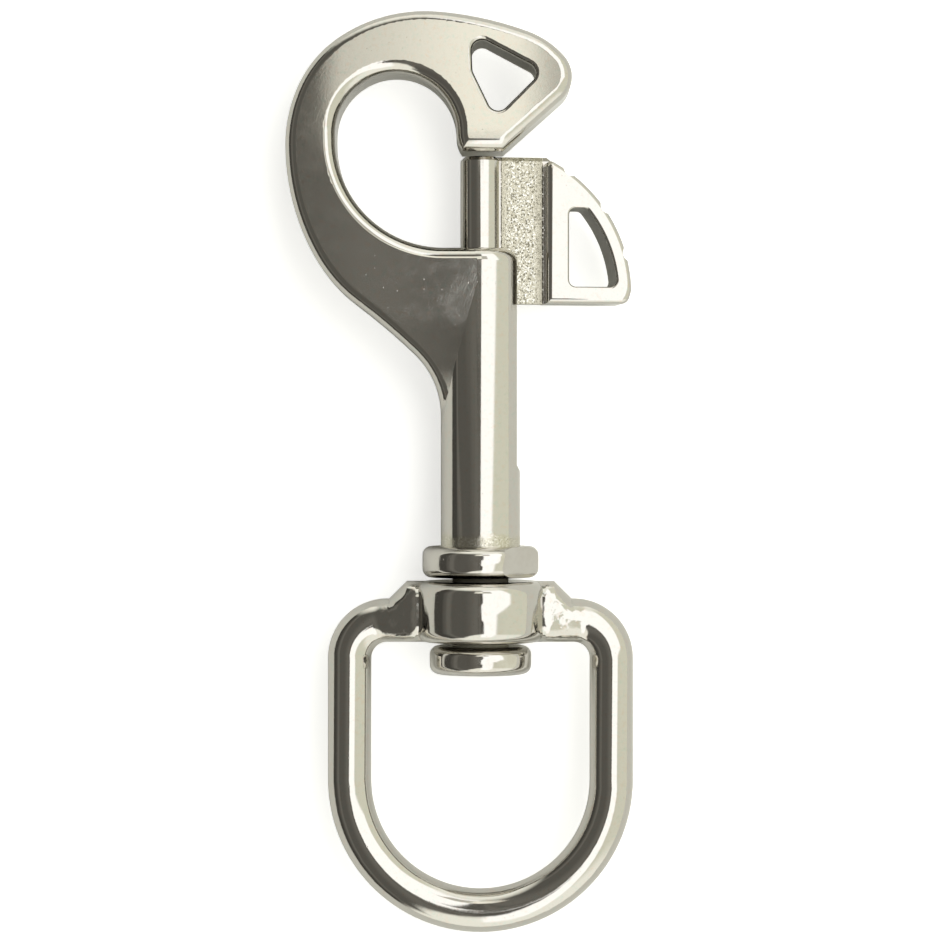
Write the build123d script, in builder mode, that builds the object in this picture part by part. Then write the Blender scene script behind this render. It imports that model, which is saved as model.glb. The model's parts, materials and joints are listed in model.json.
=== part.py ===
from build123d import *
import os

# Bolt snap with a swivel eye, in millimetres. It lies flat with its long axis along Y, the hook at the
# +Y end, the thumb pad on the +X side and the swivel axis at X 0. While the pieces are made, Y is
# measured from the barrel's foot and Z from the swivel axis.

# Barrel: the tube that holds the plunger and its spring
barrel_radius = 4.95
barrel_length = 37.1
barrel_rim_round = 1.7
tapped_depth = 6.2
thread_length = 5.75
tapped_radius = 3.0
stake_height = 3.6
stake_radius = 0.5
stake_depth = 0.25

# Hook plate, cast in one with the barrel. Its faces are all but flush with the barrel's crest and fall
# away in large arcs towards the neck and the nose.
plate_set_back = 0.02
flat_below_mouth = 3.1
neck_foot_thickness = 4.06
hook_top_thickness = 7.66
plate_edge_round = 1.7
bowl_radius = 7.5
bowl_offset = 10.5
bowl_wall = 0.7
bowl_floor_radius = 13.4
shelf_drop = 0.05
side_width = 6.2
side_drop = 1.3
shoulder_width = 6.03
shoulder_angle = 152.5
brow_width = 6.47
brow_angle = 119.6
crown_width = 8.60
crown_angle = 71.5
jaw_reach = 10.05
jaw_drop = 15.25
jaw_foot_reach = 5.05
jaw_foot_drop = 20.95
neck_reach = 3.3
neck_drop = 6.2
neck_foot_drop = 7.8

# Nose: the pierced tip of the hook, over the plunger
nose_reach = 10.4
nose_bridge_set_back = 4.45
nose_bridge_rise = 12.75
nose_tip_rise = 9.65
nose_tip_foot_rise = 4.4
nose_tip_foot_set_back = 0.2
nose_underside_drop = 2.15
nose_underside_left = 2.3
nose_underside_right = 2.8

# Nose hole: its corners, each set back from the nose's tip and raised from the bowl's centre
hole_top_corner = (11.6, 12.45)
hole_left_corner = (11.4, 7.65)
hole_foot_corner = (8.6, 1.85)
hole_right_corner = (2.7, 7.75)
nose_hole_round = 1.3
nose_hole_edge_round = 0.6

# Plunger: rod, web and thumb pad, cast in one
rod_radius = 2.5
rod_gap = 0.45
rod_below_web = 5.0
rod_tip_chamfer = 0.5
bore_clearance = 0.08
plunger_lean = 8
web_thickness = 2.4
web_height = 18.3
slot_width = 4.0
slot_floor_gap = 0.3
slot_run_out = 9.0
pad_thickness = 6.0
pad_inner_face = 7.95
pad_reach = 18.75
pad_shoulder_drop = 0.2
pad_toe_height = 1.75
pad_toe_set_back = 0.5
pad_corner_round = 0.6
pad_toe_round = 1.1
pad_crown_bulge = 2.8
pad_edge_round = 0.8
window_side_band = 2.8
window_foot_band = 2.1
window_height = 9.8
window_crown_band = 1.9
window_corner_round = 0.9
window_edge_round = 0.3
notch_radius = 1.0
notch_depth = 0.5
notch_places = (0.16, 0.47, 0.78)
travel = 11.6

# Return spring in the bore
spring_radius = 2.3
spring_wire_radius = 0.32
spring_turns = 9
spring_end_gap = 0.03

# Swivel pin and collar nut
pin_radius = 3.5
pin_head_radius = 6.35
pin_head_height = 3.55
pin_head_round = 1.15
nut_radius = 7.25
nut_height = 3.9
nut_edge_round = 1.1
nut_flats = 12.7
nut_turn = 51
thread_clearance = 0.02
shank_clearance = 0.08
hub_end_gap = 0.45

# Swivel eye: a hub and a D of round rod
hub_radius = 8.1
hub_height = 7.6
hub_edge_round = 1.4
eye_rod_radius = 2.72
eye_leg_spacing = 32.7
eye_corner_radius = 4.7
eye_leg_drop = 19.9
eye_shoulder_reach = 9.2
eye_neck_reach = 11.4
eye_shoulder_depth = 5.2
eye_shoulder_round = 2.2
crossbar_drop = 1.1

# Heights along the axis that follow from the sizes above
shelf_height = barrel_length - shelf_drop
bowl_height = shelf_height + bowl_floor_radius + bowl_wall
hook_top = bowl_height + bowl_radius + crown_width
neck_height = bowl_height - jaw_foot_drop - neck_drop
neck_foot_height = neck_height - neck_foot_drop
hook_span = bowl_offset + bowl_radius + side_width + nose_reach
face_height = barrel_radius - plate_set_back
flat_foot = shelf_height - flat_below_mouth
flat_top = bowl_height
nose_underside = bowl_height - nose_underside_drop
plunger_top = nose_underside - rod_gap
web_foot = plunger_top - web_height
slot_floor = web_foot - travel - slot_floor_gap
rod_foot = web_foot - rod_below_web
spring_seat = thread_length
nut_foot = -nut_height
hub_top = nut_foot - hub_end_gap
hub_foot = hub_top - hub_height
head_top = hub_foot - hub_end_gap
head_foot = head_top - pin_head_height
hub_middle = (hub_top + hub_foot) / 2
crossbar_height = hub_middle - crossbar_drop


def station(height):
    """A plane across the long axis at a height above the barrel's foot, facing the hook."""
    return Plane(origin=(0, height, 0), x_dir=(1, 0, 0), z_dir=(0, 1, 0))


def beyond_bowl(width, angle):
    """The point at an angle round the bowl's centre, a width of metal outside its wall."""
    return bowl_centre + Vector(bowl_radius + width, 0).rotate(Axis.Z, angle)


def on_nose(set_back, rise):
    """A point of the nose, set back from its tip and raised from the bowl's centre."""
    return Vector(nose_reach - set_back, bowl_height + rise)


def looks_along_z(face):
    """Whether a face looks up or down, as the plate's two broad faces do."""
    return abs(face.normal_at().Z) > 0.9


def stands_along_z(face):
    """Whether a face stands upright, as the plate's walls do before their rims are rounded."""
    return abs(face.normal_at().Z) < 0.1


# Hook body: the hook plate's outline
bowl_centre = Vector(-bowl_offset, bowl_height)
bowl_right = bowl_centre + Vector(bowl_radius, 0)
hook_left = bowl_centre - Vector(bowl_radius + side_width, side_drop)
hook_shoulder = beyond_bowl(shoulder_width, shoulder_angle)
hook_brow = beyond_bowl(brow_width, brow_angle)
hook_crown = beyond_bowl(crown_width, crown_angle)
nose_bridge = on_nose(nose_bridge_set_back, nose_bridge_rise)
nose_tip_top = on_nose(0, nose_tip_rise)
nose_tip_foot = on_nose(nose_tip_foot_set_back, nose_tip_foot_rise)
hole_corners = (hole_top_corner, hole_left_corner, hole_foot_corner, hole_right_corner)
jaw = bowl_centre - Vector(jaw_reach, jaw_drop)
jaw_foot = bowl_centre - Vector(jaw_foot_reach, jaw_foot_drop)
neck = Vector(-barrel_radius - neck_reach, neck_height)
neck_foot = Vector(-barrel_radius, neck_foot_height)

with BuildPart() as hook_body:
    with BuildSketch(Plane.XY):
        with BuildLine():
            side = TangentArc(hook_left, hook_shoulder, tangent=(0, 1))
            brow = TangentArc(side @ 1, hook_brow, tangent=side % 1)
            crown = TangentArc(brow @ 1, hook_crown, tangent=brow % 1)
            bridge = TangentArc(crown @ 1, nose_bridge, tangent=crown % 1)
            tip_top = TangentArc(bridge @ 1, nose_tip_top, tangent=bridge % 1)
            tip = TangentArc(tip_top @ 1, nose_tip_foot, tangent=tip_top % 1)
            chin = Line(tip @ 1, (nose_underside_right, nose_underside))
            underside = Line(chin @ 1, (-nose_underside_left, nose_underside))
            lip = TangentArc(bowl_right, underside @ 1, tangent=(0, -1))
            bowl = CenterArc(bowl_centre, bowl_radius, 0, 180)
            wall = Line(bowl @ 1, bowl @ 1 - Vector(0, bowl_wall))
            floor = JernArc(wall @ 1, wall % 1, bowl_floor_radius, 90)
            shelf = Line(floor @ 1, (0, shelf_height))
            core = Line(shelf @ 1, (0, neck_foot_height))
            foot = Line(core @ 1, neck_foot)
            under_jaw = TangentArc(hook_left, jaw, tangent=(0, -1))
            jaw_turn = TangentArc(under_jaw @ 1, jaw_foot, tangent=under_jaw % 1)
            neck_arc = TangentArc(jaw_turn @ 1, neck, tangent=jaw_turn % 1)
            neck_fillet = TangentArc(neck_arc @ 1, neck_foot, tangent=neck_arc % 1)
        make_face()
        with BuildSketch(mode=Mode.PRIVATE) as nose_hole:
            with BuildLine():
                Polyline([on_nose(*corner) for corner in hole_corners], close=True)
            make_face()
            fillet(nose_hole.vertices(), radius=nose_hole_round)
        add(nose_hole.sketch, mode=Mode.SUBTRACT)
    extrude(amount=barrel_radius, both=True)

    # Each face is flat beside the barrel's mouth and falls away in an arc towards either end
    with BuildSketch(Plane.YZ):
        with BuildLine():
            flat = Line((flat_top, face_height), (flat_foot, face_height))
            neck_fall = TangentArc(flat @ 1, (neck_foot_height, neck_foot_thickness / 2), tangent=(-1, 0))
            nose_fall = TangentArc(flat @ 0, (hook_top, hook_top_thickness / 2), tangent=(1, 0))
            Polyline(neck_fall @ 1, (neck_foot_height, 0), (hook_top, 0), nose_fall @ 1)
        make_face()
        mirror(about=Plane.XZ)
    extrude(amount=hook_span, both=True, mode=Mode.INTERSECT)

    # Rims of the nose hole and of the outline, apart from the edges that the barrel buries
    broad_faces = hook_body.faces().filter_by(looks_along_z)
    fillet(ShapeList(wire for face in broad_faces for wire in face.inner_wires()).edges(), nose_hole_edge_round)
    broad_faces = hook_body.faces().filter_by(looks_along_z)
    outline = ShapeList(face.outer_wire() for face in broad_faces).edges()
    walls = hook_body.faces().filter_by(stands_along_z).edges()
    behind_barrel = outline.filter_by_position(Axis.X, -barrel_radius, barrel_radius)
    buried = behind_barrel.filter_by_position(Axis.Y, 0, shelf_height - shelf_drop)
    rim = ShapeList(edge for edge in outline if edge in walls and edge not in buried)
    fillet(rim, radius=plate_edge_round)

    # The barrel, its rim rounded
    with BuildSketch(Plane.XY) as barrel_profile:
        with Locations((0, barrel_length / 2)):
            Rectangle(2 * barrel_radius, barrel_length)
        fillet(barrel_profile.vertices().group_by(Axis.Y)[-1], radius=barrel_rim_round)
        with Locations((-barrel_radius, barrel_length / 2)):
            Rectangle(2 * barrel_radius, 2 * barrel_length, mode=Mode.SUBTRACT)
    revolve(axis=Axis.Y)

    # Stake marks that lock the swivel pin's thread
    for side_sign in (-1, 1):
        with Locations((side_sign * (barrel_radius + stake_radius - stake_depth), stake_height, 0)):
            Sphere(stake_radius, mode=Mode.SUBTRACT)

    # Plunger bore from the top, tapped hole from the foot
    with BuildSketch(station(0)):
        Circle(rod_radius + bore_clearance)
    extrude(amount=barrel_length, mode=Mode.SUBTRACT)
    with BuildSketch(station(0)):
        Circle(tapped_radius)
    extrude(amount=tapped_depth, mode=Mode.SUBTRACT)

    # Slot for the plunger's web, down the right side, with the run-out of its cutter at the foot
    bore_side = rod_radius + bore_clearance
    slot_top = barrel_length + barrel_radius
    with BuildSketch(Plane.XY):
        with BuildLine():
            slot_wall = Polyline((2 * barrel_radius, slot_top), (0, slot_top), (0, slot_floor), (bore_side, slot_floor))
            run_out = TangentArc(slot_wall @ 1, (barrel_radius, slot_floor - slot_run_out), tangent=(0, -1))
            Polyline(run_out @ 1, (2 * barrel_radius, slot_floor - slot_run_out), slot_wall @ 0)
        make_face()
    extrude(amount=slot_width / 2, both=True, mode=Mode.SUBTRACT)

# Thumb pad's outline and its D-shaped window, in the plane of the web. The plunger leans in its slot.
blade = Plane.XY.rotated((0, plunger_lean, 0))
with BuildSketch(blade) as pad_outline:
    with BuildLine():
        pad_side = Line((pad_inner_face, web_foot), (pad_inner_face, plunger_top - pad_shoulder_drop))
        pad_crown = SagittaArc(pad_side @ 1, (pad_reach, web_foot + pad_toe_height), pad_crown_bulge)
        pad_toe = Line(pad_crown @ 1, (pad_reach - pad_toe_set_back, web_foot))
        Line(pad_toe @ 1, pad_side @ 0)
    make_face()
    toe_corner = pad_outline.vertices().sort_by_distance(Vector(pad_reach, web_foot))[0]
    fillet(toe_corner, radius=pad_toe_round)
    fillet(pad_outline.vertices().group_by(Axis.Y)[-1], radius=pad_corner_round)

pad_window_limit = offset(pad_outline.sketch_local, amount=-window_crown_band)

with BuildSketch(blade) as pad_window:
    with Locations((pad_inner_face + window_side_band, web_foot + window_foot_band)):
        Rectangle(pad_reach, window_height, align=(Align.MIN, Align.MIN))
    add(pad_window_limit, mode=Mode.INTERSECT)
    fillet(pad_window.vertices(), radius=window_corner_round)

# Each finger notch is a shallow scoop into the crown
notch_centres = [
    pad_crown @ place + (pad_crown % place).rotate(Axis.Z, 90) * (notch_radius - notch_depth)
    for place in notch_places
]

# Plunger: the pierced thumb pad with its finger notches
with BuildPart() as plunger:
    with BuildSketch(blade):
        add(pad_outline.sketch_local)
        add(pad_window.sketch_local, mode=Mode.SUBTRACT)
    extrude(amount=pad_thickness / 2, both=True)
    pad_faces = plunger.faces().filter_by(blade)
    fillet(ShapeList(face.outer_wire() for face in pad_faces).edges(), radius=pad_edge_round)
    pad_faces = plunger.faces().filter_by(blade)
    fillet(ShapeList(face.inner_wires()[0] for face in pad_faces).edges(), radius=window_edge_round)
    with BuildSketch(blade):
        with Locations(*notch_centres):
            Circle(notch_radius)
    extrude(amount=pad_thickness, both=True, mode=Mode.SUBTRACT)

    # Web, from the rod out to the pad
    with BuildSketch(blade):
        with Locations((0, web_foot)):
            Rectangle(pad_inner_face + pad_edge_round, web_height, align=(Align.MIN, Align.MIN))
    extrude(amount=web_thickness / 2, both=True)

    # Rod
    with BuildSketch(station(rod_foot)):
        Circle(rod_radius)
    extrude(amount=plunger_top - rod_foot)
    chamfer(plunger.edges().group_by(Axis.Y)[-1], length=rod_tip_chamfer)

# Compression spring in the bore
spring_foot = spring_seat + spring_end_gap + spring_wire_radius
spring_top = rod_foot - spring_end_gap - spring_wire_radius
spring_length = spring_top - spring_foot
with BuildPart() as spring:
    with BuildLine() as coil:
        Helix(
            pitch=spring_length / spring_turns,
            height=spring_length,
            radius=spring_radius - spring_wire_radius,
            center=(0, spring_foot, 0),
            direction=(0, 1, 0),
        )
    with BuildSketch(Plane(origin=coil.line @ 0, z_dir=coil.line % 0)):
        Circle(spring_wire_radius)
    sweep(path=coil.line, is_frenet=True)

# Swivel pin: rounded head, shank through the hub, threaded end in the collar nut and the barrel
with BuildPart() as swivel_pin:
    with BuildSketch(station(head_foot)):
        Circle(pin_head_radius)
    extrude(amount=pin_head_height)
    fillet(swivel_pin.edges(), radius=pin_head_round)
    with BuildSketch(station(head_top)):
        Circle(pin_radius)
    extrude(amount=nut_foot - head_top)
    with BuildSketch(station(nut_foot)):
        Circle(tapped_radius - thread_clearance)
    extrude(amount=thread_length - nut_foot)

# Collar nut with two spanner flats, locked against the barrel's foot
with BuildPart() as collar_nut:
    with BuildSketch(station(nut_foot)):
        Circle(nut_radius)
    extrude(amount=nut_height)
    fillet(collar_nut.edges().filter_by(GeomType.CIRCLE), radius=nut_edge_round)
    with BuildSketch(station(nut_foot)):
        Rectangle(2 * nut_radius, nut_flats, rotation=nut_turn)
    extrude(amount=nut_height, mode=Mode.INTERSECT)
    with BuildSketch(station(nut_foot)):
        Circle(tapped_radius)
    extrude(amount=nut_height, mode=Mode.SUBTRACT)

# Swivel eye: hub
leg_side = eye_leg_spacing / 2
leg_foot = crossbar_height - eye_leg_drop
with BuildPart() as swivel_eye:
    with BuildSketch(station(hub_foot)):
        Circle(hub_radius)
    extrude(amount=hub_height)
    fillet(swivel_eye.edges().filter_by(GeomType.CIRCLE), radius=hub_edge_round)

    # Shoulders that taper from the hub to the round rod
    with BuildSketch(Plane.YZ.offset(-eye_shoulder_reach)):
        with Locations((hub_middle, 0)):
            RectangleRounded(hub_height, eye_shoulder_depth, eye_shoulder_round)
    extrude(amount=2 * eye_shoulder_reach)
    for side_sign in (-1, 1):
        with BuildSketch(Plane.YZ.offset(side_sign * eye_shoulder_reach)):
            with Locations((hub_middle, 0)):
                RectangleRounded(hub_height, eye_shoulder_depth, eye_shoulder_round)
        with BuildSketch(Plane.YZ.offset(side_sign * eye_neck_reach)):
            with Locations((crossbar_height, 0)):
                Circle(eye_rod_radius)
        loft()

    # The D of round rod
    with BuildLine() as loop:
        left_arm = Line((-eye_neck_reach, crossbar_height), (-leg_side + eye_corner_radius, crossbar_height))
        left_corner = JernArc(left_arm @ 1, left_arm % 1, eye_corner_radius, 90)
        left_leg = Line(left_corner @ 1, (-leg_side, leg_foot))
        bend = JernArc(left_leg @ 1, left_leg % 1, leg_side, 180)
        right_leg = Line(bend @ 1, (leg_side, crossbar_height - eye_corner_radius))
        right_corner = JernArc(right_leg @ 1, right_leg % 1, eye_corner_radius, 90)
        Line(right_corner @ 1, (eye_neck_reach, crossbar_height))
    with BuildSketch(Plane(origin=left_arm @ 0, z_dir=left_arm % 0)):
        Circle(eye_rod_radius)
    sweep(path=loop.line)

    # Running bore for the bolt's shank
    with BuildSketch(station(hub_foot)):
        Circle(pin_radius + shank_clearance)
    extrude(amount=hub_height, mode=Mode.SUBTRACT)

# The whole part stands on the middle of its footprint
pieces = (hook_body, plunger, spring, swivel_pin, collar_nut, swivel_eye)
whole = Compound(children=[Compound([piece.part]) for piece in pieces]).bounding_box()
footing = Location((-whole.center().X, -whole.center().Y, -whole.min.Z))
for piece in pieces:
    piece.part.location = footing

hook_body.part.label = "hook_body"
plunger.part.label = "plunger"
spring.part.label = "spring"
swivel_pin.part.label = "swivel_pin"
collar_nut.part.label = "collar_nut"
swivel_eye.part.label = "swivel_eye"

os.makedirs("parts", exist_ok=True)
export_step(hook_body.part, "parts/hook_body.step")
export_step(plunger.part, "parts/plunger.step")
export_step(spring.part, "parts/spring.step")
export_step(swivel_pin.part, "parts/swivel_pin.step")
export_step(collar_nut.part, "parts/collar_nut.step")
export_step(swivel_eye.part, "parts/swivel_eye.step")
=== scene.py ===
import json
from math import pi, radians, sin

import bpy
import numpy as np
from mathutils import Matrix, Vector


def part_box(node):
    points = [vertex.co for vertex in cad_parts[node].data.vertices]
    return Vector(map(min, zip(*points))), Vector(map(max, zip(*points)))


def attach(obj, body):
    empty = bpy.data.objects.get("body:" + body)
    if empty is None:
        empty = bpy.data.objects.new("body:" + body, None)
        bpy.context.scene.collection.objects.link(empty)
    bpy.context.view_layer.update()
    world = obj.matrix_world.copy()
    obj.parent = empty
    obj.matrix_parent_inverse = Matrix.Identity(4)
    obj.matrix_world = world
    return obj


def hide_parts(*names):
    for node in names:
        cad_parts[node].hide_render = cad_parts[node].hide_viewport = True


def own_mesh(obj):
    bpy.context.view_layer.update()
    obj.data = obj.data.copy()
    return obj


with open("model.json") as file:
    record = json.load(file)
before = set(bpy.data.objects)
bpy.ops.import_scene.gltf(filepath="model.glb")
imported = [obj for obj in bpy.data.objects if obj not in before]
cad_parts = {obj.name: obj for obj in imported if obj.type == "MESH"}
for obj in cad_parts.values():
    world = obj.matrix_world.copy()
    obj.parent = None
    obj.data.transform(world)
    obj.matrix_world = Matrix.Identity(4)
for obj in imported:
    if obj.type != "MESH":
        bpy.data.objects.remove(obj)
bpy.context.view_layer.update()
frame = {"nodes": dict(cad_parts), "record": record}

bl_info = {
    "name": "Bolt snap",
    "version": (1, 0, 0),
    "blender": (4, 5, 0),
    "location": "View3D > Sidebar > Bolt snap",
    "description": "Finishes a cast stainless bolt snap with a swivel eye and sets it on a pale studio floor",
    "category": "Object",
}

MM = 0.001
NUT_LOW, NUT_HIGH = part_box("collar_nut")
SPRING_LOW, SPRING_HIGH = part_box("spring")
PLUNGER_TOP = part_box("plunger")[1].y
PIN_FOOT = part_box("swivel_pin")[0].y

# The swivel axis runs along Y through the middle of the nut, and the barrel stands on the nut
AXIS_X = (NUT_LOW.x + NUT_HIGH.x) / 2
AXIS_Z = (NUT_LOW.z + NUT_HIGH.z) / 2
BARREL_FOOT = NUT_HIGH.y

# The pin's head stops short of the hub by as much as the hub stops short of the nut
HUB_GAP = 0.45 * MM
HUB_TOP = NUT_LOW.y - HUB_GAP
HUB_FOOT = HUB_TOP - 7.6 * MM
HEAD_TOP = HUB_FOOT - HUB_GAP
HUB_RADIUS = 8.1 * MM
SHOULDER_END = HUB_RADIUS + 4.6 * MM

# The hook's broad faces: flat beside the barrel's mouth, with a large arc towards each end. They reach to
# just left of the axis beside the barrel, and right across the plate above its mouth.
FACE_HEIGHT = 4.93 * MM
MOUTH = BARREL_FOOT + 37.1 * MM
FLAT_FOOT = BARREL_FOOT + 33.95 * MM
FLAT_TOP = BARREL_FOOT + 51.15 * MM
NECK_ARC = 55.8 * MM
NOSE_ARC = 118.4 * MM
FACE_EDGE = AXIS_X - 0.4 * MM

# A circle round the nose hole, from the middle of the barrel's foot
NOSE_HOLE_REACH = 2.6 * MM
NOSE_HOLE_RISE = 58.65 * MM
NOSE_HOLE_RADIUS = 5.8 * MM

# The plunger leans in its slot, so that its pad lies lower than its rod. The pad's crown is an arc round a
# point beside the web's foot. A wheel can't get into the window, which lies within a smaller arc, right of
# its inner side and above its foot.
PLUNGER_LEAN = radians(8)
WEB_FOOT = PLUNGER_TOP - 18.3 * MM
CROWN_REACH = 0.22 * MM
CROWN_RISE = 1.25 * MM
WINDOW_ARC = 17.55 * MM
WINDOW_SIDE = AXIS_X + 9.85 * MM
WINDOW_FOOT = WEB_FOOT + 1.3 * MM

# How far the straight walls of the holes reach up and down from the middle of the plate and of the pad
PLATE_WALL = 3.3 * MM
PAD_WALL = 2.7 * MM

# The web lies between the plunger's rod and its pad, and its middle is the grainiest, with a painted glint on
# its grain tips
WEB_LEFT = AXIS_X + 2.6 * MM
WEB_RIGHT = AXIS_X + 7.75 * MM
GRAINY_LEFT = AXIS_X + 3.2 * MM
GRAINY_RIGHT = AXIS_X + 6.9 * MM

# The cream card that the hook's face mirrors: its height over the axis, and its sides from the point under
# the camera
CARD_HEIGHT = 120 * MM
CARD_LEFT = -28 * MM
CARD_RIGHT = 50 * MM
CARD_FOOT = 46 * MM
CARD_TOP = 120 * MM

# Facets of the spring's wire
STEPS_A_TURN = 40
WIRE_SIDES = 16


def opening(name):
    """The lowest and highest corner of an opening that the record states."""
    box = next(o["box_m"] for o in frame["record"]["physics"]["openings"] if o["name"] == name)
    return Vector(box[0]), Vector(box[1])


# Sizes and colours that a user would change

class StudioSettings(bpy.types.PropertyGroup):
    """The camera and what the polished metal mirrors."""

    camera_height: bpy.props.FloatProperty(
        name="Camera height", description="Camera's distance above the swivel axis",
        default=0.375, min=0.1, unit="LENGTH")
    camera_aim: bpy.props.FloatVectorProperty(
        name="Camera aim", description="Point under the camera, from the middle of the barrel's foot",
        size=2, default=(-1.56 * MM, 9.75 * MM), subtype="XYZ")
    camera_lens: bpy.props.FloatProperty(
        name="Lens", description="Focal length on a 36 mm sensor", default=115.4, min=10, unit="CAMERA")
    panel_colour: bpy.props.FloatVectorProperty(
        name="Panel", description="Colour of the white panel on the right",
        size=3, default=(1.62, 1.62, 1.62), subtype="COLOR", soft_max=2)
    left_colour: bpy.props.FloatVectorProperty(
        name="Left wall", description="Colour of the wall on the left",
        size=3, default=(0.62, 0.62, 0.56), subtype="COLOR", soft_max=2)
    right_colour: bpy.props.FloatVectorProperty(
        name="Right wall", description="Colour of the wall on the right, under the panel",
        size=3, default=(0.92, 0.92, 0.78), subtype="COLOR", soft_max=2)
    card_colour: bpy.props.FloatVectorProperty(
        name="Card", description="Colour of the cream card that the hook's face mirrors",
        size=3, default=(1.18, 1.16, 1.04), subtype="COLOR", soft_max=2)
    end_colour: bpy.props.FloatVectorProperty(
        name="End walls", description="Colour of the lit walls beyond both ends of the screen",
        size=3, default=(1.25, 1.25, 1.15), subtype="COLOR", soft_max=2)
    screen_colour: bpy.props.FloatVectorProperty(
        name="Dark screen", description="Colour of the dark screen overhead and to the left",
        size=3, default=(0.130, 0.125, 0.112), subtype="COLOR")
    floor_colour: bpy.props.FloatVectorProperty(
        name="Floor", description="Colour of the floor",
        size=3, default=(0.76, 0.76, 0.72), subtype="COLOR")
    floor_glow: bpy.props.FloatProperty(
        name="Floor glow", description="How much the floor is lightened for the camera alone",
        default=0.62, min=0)
    lamp_power: bpy.props.FloatProperty(
        name="Lamp", description="Power of the soft lamp", default=1.2, min=0, unit="POWER")


class MetalSettings(bpy.types.PropertyGroup):
    """The stainless steel's colour and finish."""

    cast_colour: bpy.props.FloatVectorProperty(
        name="Cast steel", description="Colour of the polished castings",
        size=3, default=(0.64, 0.62, 0.575), subtype="COLOR")
    turned_colour: bpy.props.FloatVectorProperty(
        name="Turned steel", description="Colour of the turned pin and nut",
        size=3, default=(0.67, 0.65, 0.605), subtype="COLOR")
    raw_colour: bpy.props.FloatVectorProperty(
        name="Raw casting", description="Colour of the surfaces left rough from the mould",
        size=3, default=(0.60, 0.57, 0.46), subtype="COLOR")
    warm_colour: bpy.props.FloatVectorProperty(
        name="Warm tint", description="Colour of the faint brown clouds in the castings",
        size=3, default=(0.66, 0.58, 0.51), subtype="COLOR")
    cool_colour: bpy.props.FloatVectorProperty(
        name="Cool tint", description="Colour of the faint green clouds in the castings",
        size=3, default=(0.56, 0.61, 0.56), subtype="COLOR")
    tarnish_colour: bpy.props.FloatVectorProperty(
        name="Tarnish", description="Colour of the faint brown stains",
        size=3, default=(0.52, 0.47, 0.41), subtype="COLOR")
    # Painted glint: the grain tips are lightened beyond bare steel, standing in for the sparkle of light on
    # them
    tip_glint_colour: bpy.props.FloatVectorProperty(
        name="Grain tips", description="Colour of the worn tips of the grains in the raw casting",
        size=3, default=(0.96, 0.95, 0.88), subtype="COLOR")
    hollow_colour: bpy.props.FloatVectorProperty(
        name="Hollows", description="Colour of the small hollows in the raw casting",
        size=3, default=(0.22, 0.20, 0.14), subtype="COLOR")
    # Painted shade: a dark colour for the walls in holes, standing in for the shade that falls there
    hole_shade_colour: bpy.props.FloatVectorProperty(
        name="Dull steel", description="Colour of the walls in holes, which are hardly polished",
        size=3, default=(0.24, 0.23, 0.21), subtype="COLOR")
    crease_angle: bpy.props.FloatProperty(
        name="Crease angle", description="Edges sharper than this stay sharp in the shading",
        default=radians(32), min=0, max=pi, subtype="ANGLE")


class SpringSettings(bpy.types.PropertyGroup):
    """The return spring in the barrel."""

    turns: bpy.props.IntProperty(name="Turns", description="Working turns of wire", default=7, min=1)
    end_turns: bpy.props.FloatProperty(
        name="End turns", description="Closed turns at each end", default=1.25, min=0)
    wire: bpy.props.FloatProperty(
        name="Wire", description="Diameter of the wire", default=0.64 * MM, min=0.0001, unit="LENGTH")


# Node trees

def join(tree, value, socket):
    """Puts a value or another node's output into an input."""
    if isinstance(value, bpy.types.NodeSocket):
        tree.links.new(value, socket)
    else:
        socket.default_value = value


def put(tree, kind, inputs=(), **settings):
    """Adds a node with its settings and inputs, and returns it."""
    node = tree.nodes.new(kind)
    for name, value in settings.items():
        setattr(node, name, value)
    for key, value in dict(inputs).items():
        join(tree, value, node.inputs[key])
    return node


def maths(tree, operation, *values):
    """One arithmetic step on numbers."""
    return put(tree, "ShaderNodeMath", enumerate(values), operation=operation).outputs[0]


def product(tree, *factors):
    """The product of several numbers."""
    result = factors[0]
    for factor in factors[1:]:
        result = maths(tree, "MULTIPLY", result, factor)
    return result


def total(tree, *values):
    """The sum of several numbers."""
    result = values[0]
    for value in values[1:]:
        result = maths(tree, "ADD", result, value)
    return result


def ease(tree, value, start, end, low=0.0, high=1.0):
    """Goes smoothly from low to high while the value goes from start to end."""
    inputs = {"Value": value, "From Min": start, "From Max": end, "To Min": low, "To Max": high}
    return put(tree, "ShaderNodeMapRange", inputs, interpolation_type="SMOOTHSTEP").outputs[0]


def between(tree, value, low, high, soft):
    """1 where the value lies between low and high, with soft ends."""
    rise = ease(tree, value, low - soft, low + soft)
    fall = ease(tree, value, high + soft, high - soft)
    return product(tree, rise, fall)


def parts_of(tree, vector):
    """The X, Y and Z of a vector."""
    return put(tree, "ShaderNodeSeparateXYZ", {0: vector}).outputs


def distance_along_plate(tree, place, middle_x, middle_y):
    """How far a place is from a point, seen from above."""
    x, y, _ = parts_of(tree, place)
    off = put(tree, "ShaderNodeCombineXYZ", {0: maths(tree, "SUBTRACT", x, middle_x),
                                             1: maths(tree, "SUBTRACT", y, middle_y)}).outputs[0]
    return put(tree, "ShaderNodeVectorMath", {0: off}, operation="LENGTH").outputs["Value"]


def blend_colours(tree, share, first, second):
    """The first colour where the share is 0 and the second where it is 1."""
    node = put(tree, "ShaderNodeMix", data_type="RGBA")
    join(tree, share, node.inputs[0])
    join(tree, first, node.inputs[6])
    join(tree, second, node.inputs[7])
    return node.outputs[2]


def noise(tree, vector, scale, detail=3.0, roughness=0.5):
    """Smooth noise from 0 to 1; the scale counts its lumps in a metre."""
    inputs = {"Vector": vector, "Scale": scale, "Detail": detail, "Roughness": roughness}
    return put(tree, "ShaderNodeTexNoise", inputs).outputs["Fac"]


def moved(tree, vector, location):
    """The vector moved, so that patterns of one kind don't coincide."""
    return put(tree, "ShaderNodeMapping", {"Vector": vector, "Location": location}).outputs[0]


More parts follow.
